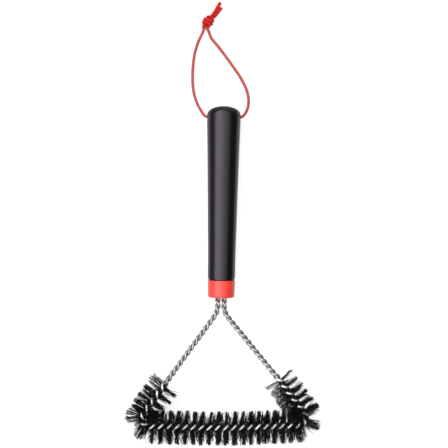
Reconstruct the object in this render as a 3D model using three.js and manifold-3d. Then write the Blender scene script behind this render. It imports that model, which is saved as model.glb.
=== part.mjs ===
// Grill cleaning brush: a turned plastic handle with a red collar, and a
// triangular head of two steel wires twisted together, with bristles held
// between them along the base of the triangle and up both its sides.
// An elastic cord through the butt of the handle is knotted into a loop.
//
// Millimetres, +Z up. The brush lies on its back on the surface z = 0, with the
// handle along +Y (the hanging end) and the head towards -Y. x = 0, y = 0 is
// the middle of its outline.

import * as THREE from 'three';
import * as BufferGeometryUtils from 'three/addons/utils/BufferGeometryUtils.js';
import Module from 'manifold-3d';

const wasm = await Module();
wasm.setup();

// ---------------------------------------------------------------- dimensions

const axisHeight = 15.4;        // handle axis and wire plane above the surface
const handleX = -3.3;           // the head sits a little to one side of the handle
const buttY = 153.8;            // top of the butt
const handleLength = 157.9;
const collarLength = 15.9;
const touch = 0.3;              // gap between pieces that touch

// radius of the handle at each distance from the butt
const handleProfile = [
  [0, 4.6], [0.55, 7.0], [1.1, 8.8], [2.0, 10.95], [2.9, 12.4], [3.8, 13.4],
  [4.7, 14.15], [5.8, 14.8], [7.5, 15.25], [12, 15.35], [28, 14.95], [44, 14.5],
  [66, 14.0], [88, 13.5], [110, 13.1], [132, 12.62], [147, 12.5],
  [157.1, 12.5], [157.9, 11.95],
];
const collarTopR = 12.35;
const collarEndR = 11.95;
const collarEdgeR = 1.6;
const spigotR = 8.2;            // plugs into the end of the handle
const spigotLength = 9.0;

const cordHoleDrop = 9.8;       // cross hole below the butt
const cordHoleR = 1.7;
const cordR = 1.2;

const wireR = 1.2;
const bareOffset = 1.38;        // wire centre from the axis of the pair
const bristledOffset = 1.77;    // wider where the bristles pass between
const stemSpread = 2.85;        // each stem from the handle axis
const tang = 36;                // stem inside the handle
const twistHalf = {             // length of half a turn of twist
  bare: 5.7, leftLeg: 8.0, base: 7.37, rightLeg: 7.55,
};

const bristleR = 15.8;          // bristles standing up or down; the lower ones bend flat at z = 0
const bristleSideR = 14.9;      // bristles lying in the plane of the head
const baseOffset = 0.7;         // the base wire is this much off the middle of its bristles
const tipThickness = 3.7;       // of a tuft, measured along the wire
const rootThickness = 0.3;
const tuftCount = 32;

const handleEndY = buttY - handleLength;
const collarEndY = handleEndY - collarLength;
const cordHoleY = buttY - cordHoleDrop;

// ----------------------------------------------------------------- materials

const material = (color, roughness, metalness) =>
  new THREE.MeshStandardMaterial({ color, roughness, metalness });
const blackPlastic = material(0x17171a, 0.42, 0);
const redPlastic = material(0xf04a38, 0.45, 0);
const galvanised = material(0xa9a8a6, 0.4, 0.9);
const nylon = material(0x1a191b, 0.55, 0);
const redElastic = material(0xe2483a, 0.75, 0);

// ------------------------------------------------------------------- helpers

const brush = new THREE.Group();

function piece(name, geometry, mat) {
  const mesh = new THREE.Mesh(geometry, mat.clone());
  mesh.name = name;
  brush.add(mesh);
  return mesh;
}

function toSolid(geometry) {
  const g = geometry.clone();
  g.deleteAttribute('normal');
  g.deleteAttribute('uv');
  const m = BufferGeometryUtils.mergeVertices(g, 1e-4);
  return new wasm.Manifold(new wasm.Mesh({
    numProp: 3,
    vertProperties: new Float32Array(m.attributes.position.array),
    triVerts: new Uint32Array(m.index.array),
  }));
}

function fromSolid(solid) {
  const mesh = solid.getMesh();
  const g = new THREE.BufferGeometry();
  g.setAttribute('position', new THREE.BufferAttribute(new Float32Array(mesh.vertProperties), 3));
  g.setIndex(new THREE.BufferAttribute(new Uint32Array(mesh.triVerts), 1));
  g.computeVertexNormals();
  return g;
}

// a turned shape about the handle axis: points are [distance along -Y from y0, radius]
function turned(points, y0, segments) {
  const profile = points.map(([d, r]) => new THREE.Vector2(r, -d)).reverse();
  const g = new THREE.LatheGeometry(profile, segments);
  g.translate(handleX, y0, axisHeight);
  return g;
}

function round(sides, r) {
  const s = new THREE.Shape();
  for (let i = 0; i < sides; i++) {
    const a = (i / sides) * 2 * Math.PI;
    if (i === 0) s.moveTo(r * Math.cos(a), r * Math.sin(a));
    else s.lineTo(r * Math.cos(a), r * Math.sin(a));
  }
  s.closePath();
  return s;
}

function tube(curve, r, sides, steps) {
  return new THREE.ExtrudeGeometry(round(sides, r), {
    steps, bevelEnabled: false, extrudePath: curve,
  });
}

// the slot that both stems run in: a flat hole with round ends
function stemSlot(y0, y1, clearance) {
  const r = bareOffset + wireR + clearance;
  const s = new THREE.Shape();
  s.absarc(stemSpread, 0, r, -Math.PI / 2, Math.PI / 2, false);
  s.absarc(-stemSpread, 0, r, Math.PI / 2, Math.PI * 1.5, false);
  s.closePath();
  const g = new THREE.ExtrudeGeometry(s, { depth: y1 - y0, bevelEnabled: false, curveSegments: 6 });
  g.rotateX(-Math.PI / 2);      // +Z of the shape to +Y
  g.translate(handleX, y0, axisHeight);
  return g;
}

// -------------------------------------------------------- handle and collar

const handleOutline = [[0, 0], ...handleProfile,
  [handleLength, spigotR + touch], [handleLength - spigotLength - touch, spigotR + touch],
  [handleLength - spigotLength - touch, 0]];
const crossHole = new THREE.CylinderGeometry(cordHoleR, cordHoleR, 40, 16);
crossHole.rotateZ(Math.PI / 2);
crossHole.translate(handleX, cordHoleY, axisHeight);

const handleSolid = toSolid(turned(handleOutline, buttY, 36))
  .subtract(toSolid(stemSlot(handleEndY, collarEndY + collarLength + tang + 1, touch)))
  .subtract(toSolid(crossHole));
piece('handle', fromSolid(handleSolid), blackPlastic);

const edge = [0, 30, 60, 90].map((a) => {
  const t = THREE.MathUtils.degToRad(a);
  return [collarLength - collarEdgeR + collarEdgeR * Math.sin(t),
    collarEndR - collarEdgeR + collarEdgeR * Math.cos(t)];
});
const collarOutline = [[-spigotLength, 0], [-spigotLength, spigotR - 0.6], [-spigotLength + 0.8, spigotR],
  [touch, spigotR], [touch, collarTopR - 0.5], [touch + 0.5, collarTopR], ...edge,
  [collarLength, 0]];
const collarSolid = toSolid(turned(collarOutline, handleEndY, 36))
  .subtract(toSolid(stemSlot(collarEndY - 2, handleEndY + spigotLength + 2, touch)));
piece('collar', fromSolid(collarSolid), redPlastic);

// ---------------------------------------------------- the bent twisted wires

// A wire run: straight lines joined by arcs. Each corner is [x, y, bend radius].
class BentPath {
  constructor(corners) {
    const v = corners.map(([x, y, r]) => ({ p: new THREE.Vector2(x, y), r }));
    this.parts = [];
    let from = v[0].p.clone();
    let s = 0;
    for (let i = 1; i < v.length; i++) {
      const dirIn = v[i].p.clone().sub(v[i - 1].p).normalize();
      if (i === v.length - 1) {
        this.parts.push({ s, length: from.distanceTo(v[i].p), from, dir: dirIn });
        s += from.distanceTo(v[i].p);
        break;
      }
      const dirOut = v[i + 1].p.clone().sub(v[i].p).normalize();
      const turn = Math.atan2(dirIn.cross(dirOut), dirIn.dot(dirOut));
      const cut = v[i].r * Math.tan(Math.abs(turn) / 2);
      const arcStart = v[i].p.clone().addScaledVector(dirIn, -cut);
      this.parts.push({ s, length: from.distanceTo(arcStart), from, dir: dirIn });
      s += from.distanceTo(arcStart);
      const side = Math.sign(turn);
      const left = new THREE.Vector2(-dirIn.y, dirIn.x);
      const centre = arcStart.clone().addScaledVector(left, side * v[i].r);
      const length = v[i].r * Math.abs(turn);
      this.parts.push({ s, length, centre, r: v[i].r, side, dir: dirIn });
      s += length;
      from = v[i].p.clone().addScaledVector(dirOut, cut);
    }
    this.length = s;
  }

  // position, direction and the left-hand normal at arc length s
  at(s) {
    let part = this.parts[0];
    for (const q of this.parts) if (s >= q.s) part = q;
    const d = s - part.s;
    let p, dir;
    if (part.centre) {
      const a = (part.side * d) / part.r;
      dir = part.dir.clone().rotateAround(new THREE.Vector2(), a);
      const left = new THREE.Vector2(-dir.y, dir.x);
      p = part.centre.clone().addScaledVector(left, -part.side * part.r);
    } else {
      dir = part.dir.clone();
      p = part.from.clone().addScaledVector(dir, d);
    }
    return {
      p: new THREE.Vector3(p.x, p.y, axisHeight),
      t: new THREE.Vector3(dir.x, dir.y, 0),
      n: new THREE.Vector3(-dir.y, dir.x, 0),
      part,
    };
  }
}

const cornerRadius = 7.2;
const stemTop = handleEndY + tang;
const corners = [
  [handleX - stemSpread, stemTop, 0],
  [handleX - stemSpread, -33.0, 18],
  [-80.3, -137.6, cornerRadius],
  [0.9, -138.7, 600],
  [82.3, -134.3, cornerRadius],
  [53.0, -96.9, 60],
  [handleX + stemSpread, -33.6, 16],
  [handleX + stemSpread, stemTop, 0],
];
const path = new BentPath(corners);
const arcs = path.parts.filter((q) => q.centre && q.r === cornerRadius);
const [leftCorner, rightCorner] = arcs;
const leftMid = leftCorner.s + leftCorner.length / 2;
const rightMid = rightCorner.s + rightCorner.length / 2;

// length of half a turn along the run; it opens out where the bristles are
const bristledFrom = leftMid - 42.5;
const bristledTo = rightMid + 49.5;
const blend = (x, a, b) => THREE.MathUtils.smoothstep(x, a, b);
function halfTurn(s) {
  let h = twistHalf.bare;
  h += (twistHalf.leftLeg - h) * blend(s, bristledFrom - 5, bristledFrom + 5);
  h += (twistHalf.base - h) * blend(s, leftMid, leftMid + 12);
  h += (twistHalf.rightLeg - h) * blend(s, rightMid - 12, rightMid);
  h += (twistHalf.bare - h) * blend(s, bristledTo - 5, bristledTo + 5);
  return h;
}
// half turns counted from a point near the middle of the base; bristles stand
// upright where the count is whole, and the first tuft starts at firstTuft
const twistStep = 0.25;
const twistTable = [0];
for (let s = 0; s < path.length; s += twistStep) {
  twistTable.push(twistTable.at(-1) + twistStep / halfTurn(s + twistStep / 2));
}
const countFrom = (leftMid + rightMid) / 2 - 2.3;
function rawTurns(s) {
  const i = Math.min(twistTable.length - 2, Math.max(0, s / twistStep));
  const k = Math.floor(i);
  return twistTable[k] + (twistTable[k + 1] - twistTable[k]) * (i - k);
}
const turnsThere = rawTurns(countFrom);
const halfTurns = (s) => rawTurns(s) - turnsThere;
function atHalfTurns(n) {       // the arc length where the count is n
  let lo = 0, hi = path.length;
  for (let i = 0; i < 40; i++) {
    const mid = (lo + hi) / 2;
    if (halfTurns(mid) < n) lo = mid; else hi = mid;
  }
  return (lo + hi) / 2;
}
const offsetAt = (s) => bareOffset + (bristledOffset - bareOffset)
  * blend(s, bristledFrom - 8, bristledFrom) * (1 - blend(s, bristledTo, bristledTo + 8));

// left-handed twist: the line between the two wires turns from the normal
// towards -Z as the run goes on
function wireLine(f, n) {
  const a = Math.PI * n;
  return f.n.clone().multiplyScalar(Math.cos(a)).add(new THREE.Vector3(0, 0, -Math.sin(a)));
}
function bristleLine(f, n) {
  const a = Math.PI * n;
  return f.n.clone().multiplyScalar(Math.sin(a)).add(new THREE.Vector3(0, 0, Math.cos(a)));
}

class Strand extends THREE.Curve {
  constructor(side) { super(); this.side = side; this.arcLengthDivisions = 6000; }
  getPoint(u, target = new THREE.Vector3()) {
    const s = u * path.length;
    const f = path.at(s);
    return target.copy(f.p).addScaledVector(wireLine(f, halfTurns(s)), this.side * offsetAt(s));
  }
}
const strandSteps = 290;
piece('core_wire_a', tube(new Strand(1), wireR, 6, strandSteps), galvanised);
piece('core_wire_b', tube(new Strand(-1), wireR, 6, strandSteps), galvanised);

// ------------------------------------------------------------------- bristles

// How far a bristle may reach towards the inside of a corner: as far as the
// line that halves the corner, which the other side's bristles come up to.
function innerReach(s) {
  let reach = Infinity;
  for (const c of arcs) {
    const away = Math.max(0, Math.abs(s - (c.s + c.length / 2)) - c.length / 2);
    const half = (Math.PI - c.length / c.r) / 2;
    const w = c.r + away * Math.tan(half) - 0.35 - 0.5 * tipThickness * Math.tan(half);
    reach = Math.min(reach, Math.max(w, 4.4));
  }
  return reach;
}

// One tuft fills half a turn of the twist: two fins, one each way from the
// wires, that run on into each other between them.
const rootRings = [1.1, 3.2];
const stations = [0.03, 0.062, 0.26, 0.5, 0.74, 0.938, 0.97];
function tuft(n0) {
  const g = new THREE.BoxGeometry(5, 1, 1, 5, 1, stations.length - 1);
  const pos = g.attributes.position;
  const vertex = new THREE.Vector3();
  for (let i = 0; i < pos.count; i++) {
    vertex.fromBufferAttribute(pos, i);
    const k = Math.round((vertex.z + 0.5) * (stations.length - 1));
    const n = n0 + stations[k];
    const s = atHalfTurns(n);
    const f = path.at(s);
    const line = bristleLine(f, n);
    const side = Math.sign(vertex.x);
    const face = Math.sign(vertex.y);
    const ring = Math.round(Math.abs(vertex.x) - 0.5);    // 0, 1 near the wires, 2 the tip
    const atTip = ring === 2;
    // along the base, bristles pointing away from the handle are a little longer
    const inPlane = side * line.dot(f.n);
    let reach = bristleR + (bristleSideR - bristleR) * Math.abs(inPlane);
    if (f.t.x > 0.99) reach -= baseOffset * inPlane;
    if (inPlane > 0) reach = Math.min(reach, innerReach(s) / Math.max(inPlane, 1e-3));
    const rho = side * (atTip ? reach : rootRings[ring]);
    // the fin's own surface leans with the twist, more and more towards the tip
    const ds = 0.05;
    const f2 = path.at(s + ds);
    const along = f2.p.clone().addScaledVector(bristleLine(f2, halfTurns(s + ds)), rho)
      .sub(f.p).addScaledVector(line, -rho);
    const normal = along.cross(line).normalize();
    const squeeze = f.part.centre && inPlane > 0 ? 1 - (Math.abs(rho) * inPlane) / (f.part.r * 1.25) : 1;
    const thickness = rootThickness + (ring === 0 ? 0
      : (tipThickness - rootThickness) * ((Math.abs(rho) - 1.1) / (bristleR - 1.1)) * squeeze);
    vertex.copy(f.p).addScaledVector(line, rho)
      .addScaledVector(normal, face * thickness / 2);
    vertex.z = Math.max(vertex.z, 0);
    pos.setXYZ(i, vertex.x, vertex.y, vertex.z);
  }
  g.computeVertexNormals();
  return g;
}

const firstTuft = -15;
for (let i = 0; i < tuftCount; i++) {
  piece(`bristle_tuft_${String(i + 1).padStart(2, '0')}`, tuft(firstTuft + i), nylon);
}

// --------------------------------------------------------------- hanging cord

// through the cross hole, out of both mouths, down onto the surface and
// together again at the knot
const cordLie = cordR + 0.15;
const cordRoute = [
  [-22.0, 227.6, 2.2], [-25.3, 220.6, cordLie + 0.2], [-28.1, 212.2, cordLie], [-31.4, 202.2, cordLie],
  [-32.8, 186.2, cordLie + 0.1], [-31.7, 171.6, 3.6], [-28.5, 159.2, 8.6], [-24.1, 150.0, 13.2],
  [handleX - 17.2, 145.0, 14.9], [handleX - 14, cordHoleY, axisHeight],
  [handleX - 5, cordHoleY, axisHeight], [handleX + 5, cordHoleY, axisHeight],
  [handleX + 14, cordHoleY, axisHeight], [handleX + 17.6, 145.2, 14.9],
  [18.1, 150.4, 12.8], [19.9, 158.8, 8.4], [18.7, 169.2, 3.9], [12.9, 181.2, cordLie + 0.2],
  [4.2, 193.7, cordLie], [-5.3, 205.6, cordLie], [-13.7, 215.6, cordLie + 0.2],
  [-17.3, 221.2, 1.9], [-18.8, 226.2, 3.0],
].map((q) => new THREE.Vector3(...q));
const cordCurve = new THREE.CatmullRomCurve3(cordRoute, false, 'centripetal');
cordCurve.arcLengthDivisions = 1200;
piece('hang_cord', tube(cordCurve, cordR, 8, 48), redElastic);

// the overhand knot tied in both strands at once, and the two short ends
const knotCentre = new THREE.Vector3(-19.1, 232.9, 4.5);
const knotTilt = -THREE.MathUtils.degToRad(33);
const knotProfile = [[-5.2, 0], [-5.2, 2.6], [-4.5, 3.7], [-3.1, 4.35], [-1.9, 4.1], [-0.6, 4.4],
  [0.6, 4.4], [1.9, 4.1], [3.1, 4.35], [4.5, 3.7], [5.2, 2.6], [5.2, 0]]
  .map(([y, r]) => new THREE.Vector2(r, y));
const knot = piece('hang_cord_knot', new THREE.LatheGeometry(knotProfile, 16), redElastic);
knot.position.copy(knotCentre);
knot.rotation.z = knotTilt;

const tailEnds = {
  hang_cord_end_a: [[-16.7, 238.2, 3.3], [-13.7, 242.8, 1.7], [-8.0, 251.0, cordLie]],
  hang_cord_end_b: [[-15.0, 236.9, 2.9], [-11.2, 240.6, 1.6], [-6.2, 246.2, cordLie]],
};
for (const [name, points] of Object.entries(tailEnds)) {
  const c = new THREE.CatmullRomCurve3(points.map((q) => new THREE.Vector3(...q)));
  piece(name, tube(c, cordR, 8, 6), redElastic);
}

export default brush;
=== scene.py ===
"""Looks of the grill cleaning brush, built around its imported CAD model.

Shapes are worked out in millimetres, with the CAD part's main sizes, and turned
into metres when a mesh is made. The wires and the cord are drawn a little
thicker than the CAD's, because they look thin otherwise.
"""
import math

import bpy
import numpy as np
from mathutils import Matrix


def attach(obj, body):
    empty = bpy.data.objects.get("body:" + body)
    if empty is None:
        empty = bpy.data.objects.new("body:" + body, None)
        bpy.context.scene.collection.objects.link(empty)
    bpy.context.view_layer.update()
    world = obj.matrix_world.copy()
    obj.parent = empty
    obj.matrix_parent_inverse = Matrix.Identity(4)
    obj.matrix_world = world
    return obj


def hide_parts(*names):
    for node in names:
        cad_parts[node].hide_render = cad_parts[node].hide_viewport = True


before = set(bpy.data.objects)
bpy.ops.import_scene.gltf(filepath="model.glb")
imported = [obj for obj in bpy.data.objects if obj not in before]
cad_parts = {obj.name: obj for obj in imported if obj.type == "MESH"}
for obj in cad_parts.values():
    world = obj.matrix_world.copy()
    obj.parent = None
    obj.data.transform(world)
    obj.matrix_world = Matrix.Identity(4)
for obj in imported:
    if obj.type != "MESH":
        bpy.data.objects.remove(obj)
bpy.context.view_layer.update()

MM = 0.001
UP = np.array([0.0, 0.0, 1.0])
rng = np.random.default_rng(20)

# ------------------------------------------------------------- dimensions, mm

AXIS_HEIGHT = 15.4          # handle axis and wire plane above the surface
HANDLE_X = -3.3
BUTT_Y = 153.8
HANDLE_LENGTH = 157.9
HANDLE_END_Y = BUTT_Y - HANDLE_LENGTH
COLLAR_LENGTH = 15.9
COLLAR_END_Y = HANDLE_END_Y - COLLAR_LENGTH
CORD_HOLE_Y = BUTT_Y - 9.8
MOUTH = 15.0                # the cord leaves the handle this far from its axis
CORD_D = 2.4
COVER = 0.15                # the drawn cord's extra radius
CORD_LIE = CORD_D / 2 + 0.2     # height of its centreline where it lies on the surface
CORD_GAP = CORD_D + 0.15    # strands that touch lie this far apart
WIRE_R = 1.3
BARE_OFFSET, BRISTLED_OFFSET = 1.31, 1.78       # of each wire from their common line
STEM_SPREAD = 2.85
STEM_TOP = HANDLE_END_Y + 36.0
CORNER_R = 7.2


# -------------------------------------------------------------------- helpers

def smooth_step(x, a, b):
    """0 below a, 1 above b and a smooth rise between them."""
    t = np.clip((x - a) / (b - a), 0, 1)
    return t * t * (3 - 2 * t)


def unit(v):
    return v / np.linalg.norm(v, axis=-1, keepdims=True)


def run_lengths(p):
    """Distance along the path p at each of its points."""
    steps = np.linalg.norm(np.diff(p, axis=0), axis=1)
    return np.concatenate([[0], np.cumsum(steps)])


def resampled(p, count):
    s = run_lengths(p)
    u = np.linspace(0, s[-1], count)
    return np.stack([np.interp(u, s, p[:, k]) for k in range(p.shape[1])], 1)


def smooth_curve(points, step):
    """A centripetal Catmull-Rom curve through the points, at even steps."""
    p = np.array(points, float)
    p = np.vstack([2 * p[0] - p[1], p, 2 * p[-1] - p[-2]])
    out = []
    for i in range(1, len(p) - 2):
        q = p[i - 1:i + 3]
        chords = np.linalg.norm(np.diff(q, axis=0), axis=1)
        t = np.concatenate([[0], np.cumsum(chords ** 0.5)])
        u = np.linspace(t[1], t[2], 24, endpoint=False)[:, None]

        def between(one, two, i, k):
            return (t[k] - u) / (t[k] - t[i]) * one + (u - t[i]) / (t[k] - t[i]) * two

        a = [between(q[k], q[k + 1], k, k + 1) for k in range(3)]
        b = [between(a[k], a[k + 1], k, k + 2) for k in range(2)]
        out.append(between(b[0], b[1], 1, 2))
    out = np.vstack(out + [p[-2:-1]])
    return resampled(out, max(2, round(run_lengths(out)[-1] / step) + 1))


def make_mesh(name, verts, faces, uv=None, values=None):
    """A smooth mesh object from millimetres.

    uv is one pair per face corner, and values is one number per vertex, which
    materials read as the attribute "strand".
    """
    me = bpy.data.meshes.new(name)
    me.from_pydata((np.asarray(verts) * MM).tolist(), [], faces)
    me.shade_smooth()
    if uv is not None:
        layer = me.uv_layers.new(name="along")
        layer.data.foreach_set("uv", np.asarray(uv, np.float32).ravel())
    if values is not None:
        attribute = me.attributes.new("strand", "FLOAT", "POINT")
        attribute.data.foreach_set("value", np.asarray(values, np.float32))
    ob = bpy.data.objects.new(name, me)
    bpy.context.scene.collection.objects.link(ob)
    return ob


def side_lines(p, start):
    """Two unit vectors across each point of a path, turning as little as they can."""
    t = unit(np.gradient(p, axis=0))
    n = np.zeros_like(p)
    v = start - t[0] * np.dot(start, t[0])
    for i in range(len(p)):
        v = v - t[i] * np.dot(v, t[i])
        v = v / np.linalg.norm(v)
        n[i] = v
    return n, np.cross(t, n)


def tube(name, path, radius, sides, start=UP, end_round=0.0, values=None):
    """A tube along path. radius is a number or an array of steps by sides."""
    n, b = side_lines(path, np.asarray(start, float))
    steps = len(path)
    r = np.broadcast_to(radius, (steps, sides)).copy()
    s = run_lengths(path)
    if end_round:           # both rims are rounded over this length
        for d in (s, s[-1] - s):
            x = np.clip(1 - d / end_round, 0, 1)
            r *= np.sqrt(1 - 0.55 * x ** 2)[:, None]
    a = np.arange(sides) / sides * 2 * math.pi
    around = n[:, None] * np.cos(a)[None, :, None] + b[:, None] * np.sin(a)[None, :, None]
    verts = (path[:, None] + r[:, :, None] * around).reshape(-1, 3)
    i, j = np.meshgrid(np.arange(steps - 1), np.arange(sides), indexing="ij")
    k = (j + 1) % sides
    here, there = i * sides, (i + 1) * sides
    quads = np.stack([here + j, here + k, there + k, there + j], -1)
    u0, u1 = j / sides, (j + 1) / sides
    corners = [(u0, s[i]), (u1, s[i]), (u1, s[i + 1]), (u0, s[i + 1])]
    uv = np.stack([np.stack(corner, -1) for corner in corners], 2)
    faces = quads.reshape(-1, 4).tolist()
    uv = uv.reshape(-1, 2).tolist()
    for ring, flip in ((0, True), (steps - 1, False)):     # two caps, each a fan
        c = len(verts)
        verts = np.vstack([verts, path[ring]])
        for j in range(sides):
            f = [ring * sides + j, ring * sides + (j + 1) % sides, c]
            faces.append(f[::-1] if flip else f)
            uv += [[0.5, s[ring]]] * 3
    if values is not None:
        values = np.concatenate([np.repeat(values, sides), values[[0, -1]]])
    return make_mesh(name, verts, faces, uv, values)


def lathe(name, profile, y0, segments):
    """A turned shape about the handle axis.

    Each point of the profile is a distance along -Y from y0, and a radius.
    """
    a = np.arange(segments) / segments * 2 * math.pi
    verts, rings = [], []
    for d, r in profile:
        if r < 1e-6:
            rings.append([len(verts)])
            verts.append([HANDLE_X, y0 - d, AXIS_HEIGHT])
        else:
            rings.append(list(range(len(verts), len(verts) + segments)))
            verts += [[HANDLE_X + r * math.cos(x), y0 - d, AXIS_HEIGHT + r * math.sin(x)]
                      for x in a]
    faces = []
    for one, two in zip(rings, rings[1:]):
        for j in range(segments):
            k = (j + 1) % segments
            if len(one) == 1:
                faces.append([one[0], two[k], two[j]])
            elif len(two) == 1:
                faces.append([one[j], one[k], two[0]])
            else:
                faces.append([one[j], one[k], two[k], two[j]])
    return make_mesh(name, verts, faces)


def cut(ob, cutter):
    """Takes cutter's shape out of ob, and removes cutter."""
    m = ob.modifiers.new("cut", "BOOLEAN")
    m.operation, m.solver, m.object = "DIFFERENCE", "EXACT", cutter
    bpy.context.view_layer.update()
    evaluated = ob.evaluated_get(bpy.context.evaluated_depsgraph_get())
    done = bpy.data.meshes.new_from_object(evaluated)
    ob.modifiers.remove(m)
    ob.data = done
    bpy.data.objects.remove(cutter)


def soften(ob, degrees):
    """Smooth shading, but for edges sharper than this."""
    ob.data.shade_smooth()
    ob.data.set_sharp_from_angle(angle=math.radians(degrees))


# ------------------------------------------------------------------ materials

class Finish:
    """A procedural material: a principled shader and a few textures on it."""

    def __init__(self, name, **constants):
        self.mat = bpy.data.materials.new(name)
        self.mat.use_nodes = True
        self.nt = self.mat.node_tree
        self.shader = self.nt.nodes["Principled BSDF"]
        for key, value in constants.items():
            self.shader.inputs[key.replace("_", " ")].default_value = value
        self.where = self.node("TexCoord").outputs["Object"]

    def node(self, kind, **settings):
        n = self.nt.nodes.new("ShaderNode" + kind)
        for key, value in settings.items():
            setattr(n, key, value)
        return n

    def link(self, a, b):
        self.nt.links.new(a, b)

    def strand(self):
        """The number from 0 to 1 that make_mesh stored at each vertex."""
        return self.node("Attribute", attribute_name="strand").outputs["Fac"]

    def noise(self, scale, detail=2.0, distortion=0.0):
        n = self.node("TexNoise")
        n.inputs["Scale"].default_value = scale
        n.inputs["Detail"].default_value = detail
        n.inputs["Distortion"].default_value = distortion
        self.link(self.where, n.inputs["Vector"])
        return n.outputs["Fac"]

    def ranged(self, value, low, high, a=0.3, b=0.7):
        m = self.node("MapRange")
        for key, v in (("From Min", a), ("From Max", b), ("To Min", low), ("To Max", high)):
            m.inputs[key].default_value = v
        self.link(value, m.inputs["Value"])
        return m.outputs["Result"]

    def colours(self, value, stops):
        r = self.node("ValToRGB")
        e = r.color_ramp.elements
        while len(e) < len(stops):
            e.new(0.5)
        for k, (at, colour) in enumerate(stops):
            e[k].position, e[k].color = at, (*colour, 1)
        self.link(value, r.inputs["Fac"])
        return r.outputs["Color"]

    def blend(self, share, one, two):
        m = self.node("Mix", data_type="RGBA")
        for key, value in (("Factor_Float", share), ("A_Color", one), ("B_Color", two)):
            self.link(value, next(i for i in m.inputs if i.identifier == key))
        return next(o for o in m.outputs if o.identifier == "Result_Color")

    def paint(self, colour):
        self.link(colour, self.shader.inputs["Base Color"])

    def rough(self, value):
        self.link(value, self.shader.inputs["Roughness"])

    def bump(self, value, distance, strength):
        b = self.node("Bump")
        b.inputs["Strength"].default_value = strength
        b.inputs["Distance"].default_value = distance
        self.link(value, b.inputs["Height"])
        self.link(b.outputs["Normal"], self.shader.inputs["Normal"])

    def put_on(self, *objects):
        for ob in objects:
            ob.data.materials.clear()
            ob.data.materials.append(self.mat)


def handle_finish():
    f = Finish("handle_plastic", Specular_IOR_Level=0.5, Specular_Tint=(1.0, 0.91, 1.03, 1))
    f.paint(f.colours(f.noise(55.0, 3.0), [(0.3, (0.0022, 0.0021, 0.0024)),
                                           (0.7, (0.0040, 0.0038, 0.0043))]))
    f.rough(f.ranged(f.noise(140.0, 4.0), 0.19, 0.25))
    f.bump(f.noise(2600.0, 2.0), 0.00003, 0.3)
    return f


def collar_finish():
    f = Finish("collar_plastic", Specular_IOR_Level=0.5)
    f.paint(f.colours(f.noise(190.0, 3.0), [(0.3, (0.62, 0.038, 0.025)),
                                            (0.7, (0.69, 0.049, 0.034))]))
    f.rough(f.ranged(f.noise(240.0, 3.0), 0.26, 0.36))
    f.bump(f.noise(2600.0, 2.0), 0.00003, 0.4)
    return f


def wire_finish():
    """Dull on the bare legs; between the bristles its crests get a painted highlight and its sides
    a painted shade.
    """
    f = Finish("galvanised_wire", Metallic=0.92)
    painted_highlight_and_shade = f.strand()
    # strand is 0.5 on the bare legs; between the bristles it rises to 1 on the crests, a painted
    # highlight, and falls to 0 on the sides, a painted shade. The spangle noise mixes the two tones
    # of the zinc.
    dark = f.colours(painted_highlight_and_shade, [(0.0, (0.06, 0.06, 0.062)), (0.5, (0.24, 0.237, 0.246)),
                            (1.0, (0.82, 0.81, 0.82))])
    light = f.colours(painted_highlight_and_shade, [(0.0, (0.12, 0.12, 0.124)), (0.5, (0.46, 0.452, 0.467)),
                             (1.0, (0.98, 0.97, 0.98))])
    spangle = f.ranged(f.noise(420.0, 4.0, distortion=0.6), 0.0, 1.0)
    f.paint(f.blend(spangle, dark, light))
    f.rough(f.ranged(f.noise(900.0, 3.0), 0.34, 0.48))
    f.bump(f.noise(1500.0, 3.0), 0.00004, 0.35)
    return f


def bristle_finish():
    f = Finish("bristle", Specular_IOR_Level=0.10, Specular_Tint=(1.0, 0.93, 1.0, 1))
    f.paint(f.colours(f.strand(), [(0.0, (0.0006, 0.0006, 0.0007)),
                                   (0.5, (0.0018, 0.0017, 0.0019)),
                                   (1.0, (0.0380, 0.0350, 0.0390))]))
    f.rough(f.ranged(f.noise(700.0, 2.0), 0.40, 0.52))
    return f


def cord_finish():
    """Elastic cord, paler where it is stretched and deep red in the knot and tails."""
    f = Finish("elastic_cord", Specular_IOR_Level=0.2)
    grain = f.noise(900.0, 3.0)
    pale = f.colours(grain, [(0.3, (0.32, 0.050, 0.040)), (0.7, (0.41, 0.068, 0.058))])
    deep = f.colours(grain, [(0.3, (0.34, 0.004, 0.005)), (0.7, (0.48, 0.010, 0.011))])
    f.paint(f.blend(f.strand(), pale, deep))
    f.rough(f.ranged(f.noise(1200.0, 2.0), 0.55, 0.72))
    f.bump(f.noise(5200.0), 0.00005, 0.5)
    return f


# --------------------------------------------------------------------- camera

def make_camera():
    """Straight above the brush, which leans a little to the right in the view."""
    data = bpy.data.cameras.new("camera")
    data.sensor_width = 36.0
    data.lens = 88.3
    data.clip_start, data.clip_end = 0.05, 30.0
    cam = bpy.data.objects.new("camera", data)
    cam.location = (-1.7 * MM, 46.9 * MM, 1.015)
    cam.rotation_euler = (0, 0, math.radians(0.876))
    bpy.context.scene.collection.objects.link(cam)
    bpy.context.scene.camera = cam


make_camera()


# --------------------------------------------------------------- hanging cord

def part_touching(q, chain, place, free, least, skip, share):
    """Pushes beads apart that are closer than least.

    place counts along each chain, and beads fewer than skip places apart on the
    same chain are left alone. free is 0 for beads that stay put.
    """
    d = q[:, None] - q[None]
    r = np.sqrt((d ** 2).sum(-1)) + 1e-9
    near = (chain[:, None] == chain[None]) & (np.abs(place[:, None] - place[None]) < skip)
    overlap = np.where(near | (r >= least), 0, least - r)
    touching = (overlap > 0).sum(1)
    move = ((overlap / r)[:, :, None] * d).sum(1) * 0.5
    move /= np.maximum(1, touching * share)[:, None]
    move *= free[:, None]
    size = np.linalg.norm(move, axis=1, keepdims=True)
    q += move * np.minimum(1, 0.6 / np.maximum(size, 1e-9))


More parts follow.
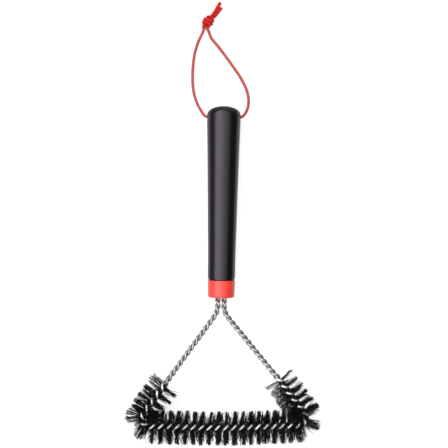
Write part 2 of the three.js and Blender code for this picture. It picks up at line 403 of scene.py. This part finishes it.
def overhand_knot(beads=104, rounds=520):
    """Both strands through a loose overhand knot, drawn tight. Its axis is Y."""
    t = np.linspace(-2.04, 2.04, 400)
    narrow = 1 - smooth_step(np.abs(t), 1.75, 2.04)
    p = 2.5 * np.stack([2.0 * (t ** 3 - 3 * t) * narrow, t ** 5 - 10 * t,
                        1.9 * (t ** 4 - 4 * t ** 2 + 1.6) * narrow], 1)
    p = resampled(p, beads)
    n, b = side_lines(p, np.array([1.0, 0, 0]))
    turn = (math.atan2(b[-1][0], n[-1][0]) + math.pi / 2) % math.pi - math.pi / 2
    a = turn * np.linspace(0, 1, beads)[:, None]
    across = n * np.cos(a) + b * np.sin(a)
    strands = []
    for sign in (1, -1):
        s = p + sign * 1.35 * across
        s = np.vstack([[sign * 1.25, s[0][1] - 3, 0], s,
                       [math.copysign(1.25, s[-1][0]), s[-1][1] + 3, 0]])
        strands.append(resampled(s, beads))
    q = np.vstack(strands)
    chain = np.arange(2 * beads) // beads
    place = np.arange(2 * beads) % beads
    free = ((place > 0) & (place < beads - 1)).astype(float)
    for i in range(rounds):
        late = max(0, i / rounds - 0.7) / 0.3
        pull = 0.25 * (1 - late) + 0.01
        for k in range(2):
            s = q[k * beads:(k + 1) * beads]
            s[1:-1] += pull * (s[:-2] + s[2:] - 2 * s[1:-1])
            if i % 5 == 0:
                s[:] = resampled(s, beads)
        gap = run_lengths(q[:beads])[-1] / (beads - 1)
        for _ in range(5 if late else 2):
            part_touching(q, chain, place, free, CORD_GAP, math.ceil(4.0 / gap), 0.45)
    return q[:beads], q[beads:]


KNOT_CENTRE = np.array([-19.2, 232.8, 0.0])
KNOT_TILT = math.radians(-44)
LOOP_TOP, TAIL_BOTTOM = 219, 243      # between these only the knot is held in place
LEFT_ROUTE = [
    [HANDLE_X, CORD_HOLE_Y, AXIS_HEIGHT], [HANDLE_X - 5, CORD_HOLE_Y, AXIS_HEIGHT],
    [HANDLE_X - 14, CORD_HOLE_Y, AXIS_HEIGHT], [HANDLE_X - 17.2, 145.0, 14.9],
    [-24.3, 150.0, 13.2], [-29.0, 159.2, 8.6], [-32.1, 171.6, 3.6], [-32.8, 186.2, CORD_LIE + 0.1],
    [-31.4, 202.2, CORD_LIE], [-28.9, 212.0, CORD_LIE], [-26.1, 219.0, CORD_LIE + 0.1],
    [-23.1, 225.2, 1.7],
]
RIGHT_ROUTE = [
    [HANDLE_X, CORD_HOLE_Y, AXIS_HEIGHT], [HANDLE_X + 5, CORD_HOLE_Y, AXIS_HEIGHT],
    [HANDLE_X + 14, CORD_HOLE_Y, AXIS_HEIGHT], [HANDLE_X + 17.4, 145.3, 14.9],
    [17.4, 150.4, 12.8], [19.1, 158.8, 8.4], [17.6, 169.2, 3.9], [11.9, 181.2, CORD_LIE + 0.2],
    [3.2, 193.7, CORD_LIE], [-5.7, 205.6, CORD_LIE], [-13.4, 214.8, CORD_LIE + 0.1],
    [-16.4, 218.5, CORD_LIE + 0.2], [-18.0, 222.1, 1.8], [-18.5, 225.8, 2.3],
]
TAILS = [
    [[-14.2, 240.1, 2.5], [-11.8, 244.6, 1.8], [-8.2, 251.2, CORD_LIE + 0.2]],
    [[-12.3, 239.2, 2.5], [-10.4, 242.0, 1.8], [-6.9, 246.5, CORD_LIE + 0.2]],
]
CORD_STEP = 0.8


def cord_paths():
    """The centreline of each strand, from inside the cross hole to its cut end."""
    c, s = math.cos(KNOT_TILT), math.sin(KNOT_TILT)
    turn = np.array([[c, -s, 0], [s, c, 0], [0, 0, 1.0]])
    strands = overhand_knot()
    core = np.vstack([k[np.abs(k[:, 1]) < 4.2] for k in strands])
    middle = (core.min(0) + core.max(0)) / 2
    drop = core[:, 2].min() - CORD_D / 2 - 0.27
    strands = sorted(strands, key=lambda k: k[0][0])        # left one first
    tails = TAILS if strands[0][-1][0] < strands[1][-1][0] else TAILS[::-1]
    paths, fixed = [], []
    for knot, route, tail in zip(strands, (LEFT_ROUTE, RIGHT_ROUTE), tails):
        k = knot - [0, middle[1], drop]
        inner = np.flatnonzero((k[:, 1] > -4.0) & (k[:, 1] < 4.6))
        k = k[inner[0]:inner[-1] + 1] @ turn.T + KNOT_CENTRE
        path = smooth_curve(np.vstack([route, k[::2], tail]), CORD_STEP)
        paths.append(path)
        in_knot = np.abs(((path - KNOT_CENTRE) @ turn)[:, 1]) < 3.2
        last = len(path) - np.argmax(in_knot[::-1])
        first = np.argmax(in_knot & (path[:, 1] > LOOP_TOP + 3))
        lock = np.zeros(len(path))
        lock[first:last] = 1                                 # the knot itself
        lock[path[:, 1] < LOOP_TOP] = 1                      # the loop
        lock[path[:, 1] > TAIL_BOTTOM] = 1                   # the cut ends
        fixed.append(lock)
    q = np.vstack(paths)
    free = 1 - np.concatenate(fixed)
    chain = np.repeat([0, 1], [len(p) for p in paths])
    place = np.concatenate([np.arange(len(p)) for p in paths])
    for _ in range(40):         # ease the strands into and out of the knot
        eased = q.copy()
        for k in (0, 1):
            s = q[chain == k]
            m = s.copy()
            m[1:-1] = (s[:-2] + s[2:]) / 2
            eased[chain == k] = m
        q += free[:, None] * 0.25 * (eased - q)
        part_touching(q, chain, place, free, CORD_GAP, 6, 0.5)
        lowest = CORD_LIE + 0.2 * smooth_step(q[:, 1], 226, 242)     # the tails are thicker
        q[:, 2] = np.maximum(q[:, 2], lowest)
    ends = [q[chain == k] for k in (0, 1)]
    return [smooth_curve(np.vstack([p[:-2:2], p[-1:]]), 0.22) for p in ends]


def braided(path, sides=32, carriers=8, rise=0.95, depth=0.075):
    """Radius of a braided cover: yarns cross over and under each other."""
    s = run_lengths(path)[:, None]
    a = np.arange(sides)[None] / sides
    p, q = carriers * a + s / (2 * rise), carriers * a - s / (2 * rise)
    over = (np.floor(p) + np.floor(q)) % 2 == 0
    across = np.where(over, q, p) % 1 - 0.5
    along = np.where(over, p, q) % 1 - 0.5
    yarn = np.cos(math.pi * across) ** 0.7 * np.cos(math.pi * along) ** 0.45
    return CORD_D / 2 + COVER - depth + depth * 1.25 * yarn


elastic = cord_finish()
for name, nodes, side, path in zip(
        ("cord_strand_left", "cord_strand_right"),
        (("hang_cord", "hang_cord_end_a"), ("hang_cord_knot", "hang_cord_end_b")),
        (-1, 1), cord_paths()):
    slack = smooth_step(path[:, 1], 226.0, 229.0)            # the knot and the tail
    thicker = 1 + 0.06 * slack + 0.10 * smooth_step(path[:, 1], 239.0, TAIL_BOTTOM)
    radius = braided(path) * thicker[:, None]
    strand = tube(name, path, radius, 32, end_round=0.5, values=slack)
    elastic.put_on(strand)
    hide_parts(*nodes)
    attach(strand, "hang_loop")


# ---------------------------------------------------------- handle and collar

HANDLE_PROFILE = [
    [0, 4.6], [0.55, 7.0], [1.1, 8.8], [2.0, 10.95], [2.9, 12.4], [3.8, 13.4],
    [4.7, 14.15], [5.8, 14.8], [7.5, 15.25], [12, 15.35], [28, 14.95], [44, 14.5],
    [66, 14.0], [88, 13.5], [110, 13.1], [132, 12.62], [147, 12.5], [157.0, 12.5],
]


def rounded_edge(d, r, size, inward):
    """Points of a quarter circle that ends the outside of a turned shape."""
    return [[d - size + size * math.sin(x), r - size + size * math.cos(x)] if inward
            else [d + size - size * math.sin(x), r - size + size * math.cos(x)]
            for x in np.radians(np.linspace(0, 90, 7))]


def build_handle():
    """The grip, with a recess for the collar's spigot and a cross hole for the cord."""
    body = smooth_curve(HANDLE_PROFILE, 0.4)
    keep = [0]
    for i, (d, r) in enumerate(body):       # rings lie further apart where it is straight
        if d - body[keep[-1]][0] > (0.0 if d < 9 else 2.2):
            keep.append(i)
    outer = [body[i].tolist() for i in keep if body[i][0] < HANDLE_LENGTH - 1.2]
    outer[0] = [0.0, 4.4]                   # rim of the small flat on the butt
    flat = [[0, 0], [0, 2.2]]
    edge = rounded_edge(HANDLE_LENGTH, 12.06, 0.75, True)
    recess_end = HANDLE_LENGTH - 9.3
    recess = [[HANDLE_LENGTH, 8.5], [recess_end, 8.5], [recess_end, 0]]
    handle = lathe("handle_grip", flat + outer + edge + recess, BUTT_Y, 160)
    bore, lip = 1.7, 0.8                    # the cross hole has rounded mouths
    half = [[9.0, bore]] + [[MOUTH - lip + lip * v,
                             bore + lip * (1 - math.sqrt(1 - v * v * 0.999))]
                            for v in np.linspace(0, 1, 7)]
    profile = [[-d, r] for d, r in half[::-1]] + half
    profile = [[-17.0, 2.9]] + profile + [[17.0, 2.9]]
    line = np.array([[HANDLE_X + d, CORD_HOLE_Y, AXIS_HEIGHT] for d, r in profile])
    cutter = tube("cutter", line, np.array([[r] * 48 for d, r in profile]), 48)
    cut(handle, cutter)
    soften(handle, 38)
    return handle


def stem_slot(y0, y1, r):
    """The flat hole with round ends that both stems run in."""
    a = np.radians(np.linspace(-90, 90, 13))
    outline = [[HANDLE_X + side * (STEM_SPREAD + r * math.cos(x)),
                AXIS_HEIGHT + side * r * math.sin(x)] for side in (1, -1) for x in a]
    n = len(outline)
    verts = [[x, y, z] for y in (y0, y1) for x, z in outline]
    faces = [[i, (i + 1) % n, n + (i + 1) % n, n + i] for i in range(n)]
    faces += [list(range(n))[::-1], list(range(n, 2 * n))]
    return make_mesh("cutter", verts, faces)


def build_collar():
    """The cap on the handle's end, with its spigot and the slot for both stems."""
    spigot = [[-8.8, 0], [-8.8, 7.6], [-8.0, 8.1], [0.25, 8.1]]
    top = rounded_edge(0.25, 12.4, 0.55, False)[::-1]
    end = rounded_edge(COLLAR_LENGTH, 12.0, 1.7, True)
    wall = [[3.0, 12.32], [6.0, 12.25], [9.0, 12.17], [12.0, 12.08]]
    face = [[COLLAR_LENGTH, 8.0], [COLLAR_LENGTH, 0]]
    collar = lathe("collar_ring", spigot + top + wall + end + face, HANDLE_END_Y, 160)
    slot_r = 2.85
    cut(collar, stem_slot(COLLAR_END_Y - 2, HANDLE_END_Y + 12, slot_r))
    soften(collar, 38)
    return collar


handle, collar = build_handle(), build_collar()
handle_finish().put_on(handle)
collar_finish().put_on(collar)
for piece, slot, node in ((handle, "handle_plastic", "handle"),
                          (collar, "collar_plastic", "collar")):
    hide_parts(node)
    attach(piece, "brush")


# ---------------------------------------------------- the bent twisted wires

class WireRun:
    """Straight lines joined by arcs. Each corner is [x, y, bend radius].

    parts holds the start of each line or arc: arc length, x, y, angle, curvature.
    arcs holds where each bend of CORNER_R starts, and its length.
    """

    def __init__(self, corners):
        p = np.array([c[:2] for c in corners], float)
        way = unit(np.diff(p, axis=0))
        angle = np.arctan2(way[:, 1], way[:, 0])
        parts, self.arcs = [], []
        here, s = p[0], 0.0
        for i in range(1, len(p) - 1):
            turn = (angle[i] - angle[i - 1] + math.pi) % (2 * math.pi) - math.pi
            r = corners[i][2]
            short = r * math.tan(abs(turn) / 2)
            parts.append([s, *here, angle[i - 1], 0.0])
            s += np.linalg.norm(p[i] - here) - short
            bend_from = p[i] - way[i - 1] * short
            parts.append([s, *bend_from, angle[i - 1], math.copysign(1 / r, turn)])
            if r == CORNER_R:
                self.arcs.append((s, r * abs(turn)))
            s += r * abs(turn)
            here = p[i] + way[i] * short
        parts.append([s, *here, angle[-1], 0.0])
        self.parts = np.array(parts)
        self.length = s + np.linalg.norm(p[-1] - here)

    def at(self, s):
        """Position, direction and left-hand normal at each arc length."""
        s = np.asarray(s, float)
        q = self.parts[np.clip(np.searchsorted(self.parts[:, 0], s, side="right") - 1, 0, None)]
        start, a0, bend = q[..., 1:3], q[..., 3], q[..., 4]
        d = s - q[..., 0]
        a = a0 + bend * d
        k = np.where(bend == 0, 1, bend)
        x = np.where(bend == 0, d * np.cos(a0), (np.sin(a) - np.sin(a0)) / k)
        y = np.where(bend == 0, d * np.sin(a0), (np.cos(a0) - np.cos(a)) / k)
        o = np.zeros_like(a)
        return (np.stack([start[..., 0] + x, start[..., 1] + y, o + AXIS_HEIGHT], -1),
                np.stack([np.cos(a), np.sin(a), o], -1), np.stack([-np.sin(a), np.cos(a), o], -1))


run = WireRun([
    [HANDLE_X - STEM_SPREAD, STEM_TOP, 0], [HANDLE_X - STEM_SPREAD, -33.0, 18],
    [-80.3, -137.6, CORNER_R], [0.9, -138.7, 600], [82.3, -134.3, CORNER_R],
    [53.0, -96.9, 60], [HANDLE_X + STEM_SPREAD, -33.6, 16], [HANDLE_X + STEM_SPREAD, STEM_TOP, 0],
])
LEFT_MID, RIGHT_MID = (s + length / 2 for s, length in run.arcs)
BRISTLED = LEFT_MID - 42.5, RIGHT_MID + 49.5
BARE_HALF_TURN = 5.7


def half_turn(s):
    """Length of half a turn of twist, which opens out where the bristles are."""
    h = BARE_HALF_TURN + 0 * s
    for length, a, b in ((8.0, BRISTLED[0] - 5, BRISTLED[0] + 5),
                         (7.37, LEFT_MID, LEFT_MID + 12),
                         (7.55, RIGHT_MID - 12, RIGHT_MID),
                         (BARE_HALF_TURN, BRISTLED[1] - 5, BRISTLED[1] + 5)):
        h = h + (length - h) * smooth_step(s, a, b)
    return h


TABLE_STEP = 0.25
TABLE_S = np.arange(0, run.length + TABLE_STEP, TABLE_STEP)
TABLE_N = np.concatenate([[0], np.cumsum(TABLE_STEP / half_turn(TABLE_S[:-1] + TABLE_STEP / 2))])
TABLE_N -= np.interp((LEFT_MID + RIGHT_MID) / 2 - 2.3, TABLE_S, TABLE_N)


def half_turns(s):
    """Half turns of twist at arc length s, counted from near the middle of the base."""
    return np.interp(s, TABLE_S, TABLE_N)


def at_half_turns(n):
    return np.interp(n, TABLE_N, TABLE_S)


def wire_offset(s):
    inside = (smooth_step(s, BRISTLED[0] - 8, BRISTLED[0])
              * (1 - smooth_step(s, BRISTLED[1], BRISTLED[1] + 8)))
    return BARE_OFFSET + (BRISTLED_OFFSET - BARE_OFFSET) * inside


def wire_line(normal, n):
    """The line between the two wires, in a left-handed twist."""
    a = math.pi * np.asarray(n)[..., None]
    return normal * np.cos(a) - UP * np.sin(a)


def bristle_line(normal, n):
    """The line that bristles stand out along, square to the wire line."""
    a = math.pi * np.asarray(n)[..., None]
    return normal * np.sin(a) + UP * np.cos(a)


steel = wire_finish()
s_wire = np.linspace(0, run.length, 1350)
for name, node, side in (("wire_strand_a", "core_wire_a", 1), ("wire_strand_b", "core_wire_b", -1)):
    p, t, normal = run.at(s_wire)
    n = half_turns(s_wire)
    wander = sum(0.035 * np.sin(s_wire / w + rng.uniform(0, 6)) for w in (3.1, 5.3, 11.0))
    centre = p + side * wire_line(normal, n) * (wire_offset(s_wire) + wander)[:, None]
    thick = WIRE_R + 0.012 * np.sin(s_wire / 1.9 + side)[:, None]
    # in the bristled part the strand value paints a highlight on the wire's crests and a shade on
    # its sides
    inside = smooth_step(s_wire, BRISTLED[0], BRISTLED[0] + 6) * (
        1 - smooth_step(s_wire, BRISTLED[1] - 6, BRISTLED[1]))
    crest = smooth_step(np.abs(np.sin(math.pi * n)), 0.38, 0.72)
    wire = tube(name, centre, thick, 16, end_round=0.4, values=0.5 + inside * (crest - 0.5))
    steel.put_on(wire)
    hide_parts(node)
    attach(wire, "brush")


# ------------------------------------------------------------------- bristles

FIRST_TUFT, TUFTS = -15, 32
FILAMENTS = 165             # in a full tuft
FILAMENT_R = 0.14
REACH_UP, REACH_SIDE = 15.8, 15.0
# along the base they are trimmed shorter inside the triangle than outside it
INSIDE_TRIM, OUTSIDE_EXTRA = 0.7, 1.1
MOST_LEAN = 24              # degrees
# the tufts at both ends of the bristled part hold fewer filaments
SPARSE = {1: 0.55, 2: 0.80, 30: 0.80, 31: 0.50, 32: 0.20}


def filament_mesh(name, lines, radius, shade):
    """Square-sided filaments along lines (filaments by points by xyz)."""
    count, steps, _ = lines.shape
    t = unit(np.gradient(lines, axis=1))
    ref = np.where(np.abs(t[..., 2:3]) > 0.8, np.array([1.0, 0.4, 0]), UP)
    u = unit(np.cross(t, ref))
    v = np.cross(t, u)
    a = np.arange(4) / 4 * 2 * math.pi + 0.4
    cos_a, sin_a = (w[None, None, :, None] for w in (np.cos(a), np.sin(a)))
    ring = u[:, :, None] * cos_a + v[:, :, None] * sin_a
    verts = (lines[:, :, None] + radius[:, None, None, None] * ring).reshape(-1, 3)
    f, i, j = np.meshgrid(np.arange(count), np.arange(steps - 1), np.arange(4), indexing="ij")
    base, k = (f * steps + i) * 4, (j + 1) % 4
    quads = np.stack([base + j, base + k, base + 4 + k, base + 4 + j], -1).reshape(-1, 4)
    first = np.arange(count)[:, None] * steps * 4
    caps = np.vstack([first + [3, 2, 1, 0], first + (steps - 1) * 4 + [0, 1, 2, 3]])
    faces = np.vstack([quads, caps]).tolist()
    return make_mesh(name, verts, faces, values=np.repeat(shade, steps * 4))


def build_tuft(number):
    """The filaments that half a turn of the wires holds, each bent through its middle."""
    n0 = FIRST_TUFT + number - 1
    count = round(FILAMENTS * SPARSE.get(number, 1.0) * rng.uniform(0.94, 1.06))
    fill = 0.55 if number == TUFTS else 1.0             # the last one is half a tuft
    n = n0 + fill * (np.arange(count) + rng.uniform(0.1, 0.9, count)) / count
    s = at_half_turns(n)
    p, t, normal = run.at(s)
    line, across = bristle_line(normal, n), wire_line(normal, n)
    on_base = t[:, 0] > 0.9
    root = p + across * rng.uniform(-0.36, 0.36, count)[:, None]     # between the wires
    # filaments gather in small clumps, which lean together along the wire
    clumps = 5
    clump = np.minimum((np.arange(count) * clumps) // count, clumps - 1)
    corner = sum(np.exp(-((s - mid) / 12.5) ** 2) for mid in (LEFT_MID, RIGHT_MID))
    from_centre = n - np.round(2 * n) / 2       # of the nearest of up, down and both sides
    sides = []
    for sign in (1, -1):
        in_plane = sign * (line * normal).sum(1)
        flat = np.abs(in_plane) > 0.7
        inner = np.where(in_plane > 0, corner, 0)
        # one side of the wire has neat separate tufts and the other side is bushy
        neat = (in_plane > 0) == (s < RIGHT_MID)
        between = rng.random(count) < np.where(neat, 0.15, 0.32)     # they fill the gaps
        loose = np.where(flat, np.where(neat, 0.8, 1.1), 0.85) * np.where(between, 2.0, 1.0)
        loose = loose * np.where(on_base, 1.0, 1.2) * (1 + 2.0 * inner)
        gather = np.where(flat, np.where(neat, 0.55, 0.25), 0.6) * ~between * (1 - inner)
        lean = (rng.normal(0, 2.6, clumps)[clump] + rng.normal(0, 2.8, count)) * loose
        lean = lean - np.degrees(np.arctan(gather * from_centre * half_turn(s) / REACH_UP))
        lean = lean + np.where(on_base & (in_plane > 0), 7.0, 0.0)
        fan = rng.normal(0, 2.2, clumps)[clump] + rng.normal(0, 2.4, count)
        fan = fan * np.where(flat, 1.2, 3.2) * (1 + 3.0 * inner)
        stray = rng.random(count) < 0.04
        lean = np.where(stray, lean + rng.normal(0, 12, count), lean)
        fan = np.where(stray, fan + rng.normal(0, 8, count), fan)
        lean, fan = (np.clip(v, -MOST_LEAN, MOST_LEAN) for v in (lean, fan))
        bow = rng.normal(0, 0.45, count)
        reach = REACH_UP + (REACH_SIDE - REACH_UP) * np.abs(in_plane)
        uneven = np.where(in_plane < 0, OUTSIDE_EXTRA, INSIDE_TRIM) * in_plane
        reach = reach - np.where(on_base, uneven, 0)
        reach = reach + rng.normal(-0.1, 0.32, count) + rng.normal(0, 0.22, clumps)[clump]
        r = np.linspace(0, 1, 8)[1:][None] * reach[:, None]
        out = r ** 2 / (r + 1.6)
        lines = (root[:, None] + sign * line[:, None] * r[..., None]
                 + t[:, None] * (np.tan(np.radians(lean))[:, None] * out
                                 + bow[:, None] * (r / 15) ** 2)[..., None]
                 + across[:, None] * (np.tan(np.radians(fan))[:, None] * out)[..., None])
        sides.append(lines)
    lines = np.concatenate([sides[1][:, ::-1], root[:, None], sides[0]], 1)
    radius = FILAMENT_R * rng.uniform(0.9, 1.1, count)
    low = radius[:, None] + 0.03
    lines[..., 2] = np.maximum(lines[..., 2], low)
    shade = np.clip(rng.normal(0.45, 0.28, count), 0, 1)
    return filament_mesh(f"bristles_{number:02d}", lines, radius, shade)


nylon = bristle_finish()
for number in range(1, TUFTS + 1):
    tuft = build_tuft(number)
    nylon.put_on(tuft)
    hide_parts(f"bristle_tuft_{number:02d}")
    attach(tuft, "brush")


# ----------------------------------------------------- floor, light and world

FLOOR_SIZE, DOME_R = 9000, 8500


def make_floor():
    """A white floor under a white dome. Gloss reflects the studio instead of them."""
    corners = [(-1, -1), (1, -1), (1, 1), (-1, 1)]
    floor = make_mesh("floor", [[FLOOR_SIZE * x, FLOOR_SIZE * y, -0.1] for x, y in corners],
                      [[0, 1, 2, 3]])
    f = Finish("pale_floor", Roughness=0.9, Specular_IOR_Level=0.0, Emission_Strength=0.8,
               Emission_Color=(1, 1, 1, 1))
    f.paint(f.colours(f.noise(3.0), [(0.3, (0.24, 0.24, 0.24)), (0.7, (0.26, 0.26, 0.26))]))
    f.put_on(floor)
    floor.visible_glossy = False

    turns, rings = 48, 12
    verts = [[DOME_R * math.cos(e) * math.cos(a), DOME_R * math.cos(e) * math.sin(a),
              DOME_R * math.sin(e) - 1]
             for e in np.linspace(0, math.pi / 2 - 0.01, rings)
             for a in np.arange(turns) / turns * 2 * math.pi]
    faces = [[i * turns + j, i * turns + (j + 1) % turns, (i + 1) * turns + (j + 1) % turns,
              (i + 1) * turns + j] for i in range(rings - 1) for j in range(turns)]
    dome = make_mesh("backdrop", verts, faces)
    f = Finish("backdrop_white", Roughness=1.0, Specular_IOR_Level=0.0, Emission_Strength=1.0,
               Emission_Color=(1, 1, 1, 1))
    f.put_on(dome)
    for kind in ("diffuse", "glossy", "transmission", "shadow", "volume_scatter"):
        setattr(dome, "visible_" + kind, False)


def make_world(soft=3.35, dim=0.08, low=0.85):
    """A large overhead softbox, brightest on its left, in a dark room over a pale ground.

    soft and low are the strengths of the softbox and the ground, and dim is the room's.
    """
    world = bpy.data.worlds.new("studio")
    bpy.context.scene.world = world
    world.use_nodes = True
    nt = world.node_tree
    link = nt.links.new

    def node(kind, **settings):
        n = nt.nodes.new("ShaderNode" + kind)
        for key, value in settings.items():
            setattr(n, key, value)
        return n

    def maths(operation, a, b=None):
        m = node("Math", operation=operation)
        for k, v in enumerate((a, b)):
            if v is None:
                continue
            if isinstance(v, (int, float)):
                m.inputs[k].default_value = v
            else:
                link(v, m.inputs[k])
        return m.outputs[0]

    def ramp(value, a, b, low=0.0, high=1.0, kind="SMOOTHSTEP"):
        m = node("MapRange", interpolation_type=kind)
        for key, v in (("From Min", a), ("From Max", b), ("To Min", low), ("To Max", high)):
            m.inputs[key].default_value = v
        link(value, m.inputs["Value"])
        return m.outputs["Result"]

    split = node("SeparateXYZ")
    link(node("TexCoord").outputs["Generated"], split.inputs[0])
    x, y, z = split.outputs
    height = maths("MAXIMUM", z, 0.05)
    across, along = maths("DIVIDE", x, height), maths("ABSOLUTE", maths("DIVIDE", y, height))
    stops = [(-2.3, 0.08), (-1.25, 0.84), (-0.8, 1), (-0.45, 0.94),
             (0, 0.64), (0.29, 0.42), (0.65, 0.28), (1.3, 0)]
    box = node("ValToRGB")
    e = box.color_ramp.elements
    while len(e) < len(stops):
        e.new(0.5)
    for k, (at, level) in enumerate(stops):     # brightness from left to right
        e[k].position, e[k].color = (at + 2.5) / 5, (level, level, level, 1)
    link(ramp(across, -2.5, 2.5, kind="LINEAR"), box.inputs["Fac"])
    box = maths("MULTIPLY", box.outputs["Color"], ramp(along, 0.5, 4.5, 1.0, 0.25))
    box = maths("MULTIPLY", box, ramp(z, 0.0, 0.12))
    lengthwise = maths("ABSOLUTE", y)
    ground = maths("MULTIPLY", ramp(z, -0.42, -0.10, low - dim, 0.0),
                   ramp(lengthwise, 0.3, 0.7, 1.0, 0.25))
    ends = maths("MULTIPLY", ramp(lengthwise, 0.6, 0.95, 0.0, 0.4),       # walls at both ends
                 ramp(maths("ABSOLUTE", z), 0.15, 0.5, 1.0, 0.0))
    total = maths("ADD", maths("ADD", maths("MULTIPLY", box, soft), ground),
                  maths("ADD", ends, dim))
    background = nt.nodes["Background"]
    background.inputs["Color"].default_value = (1, 1, 1, 1)
    link(total, background.inputs["Strength"])


make_floor()
make_world()
bpy.context.scene.view_settings.view_transform = "Standard"
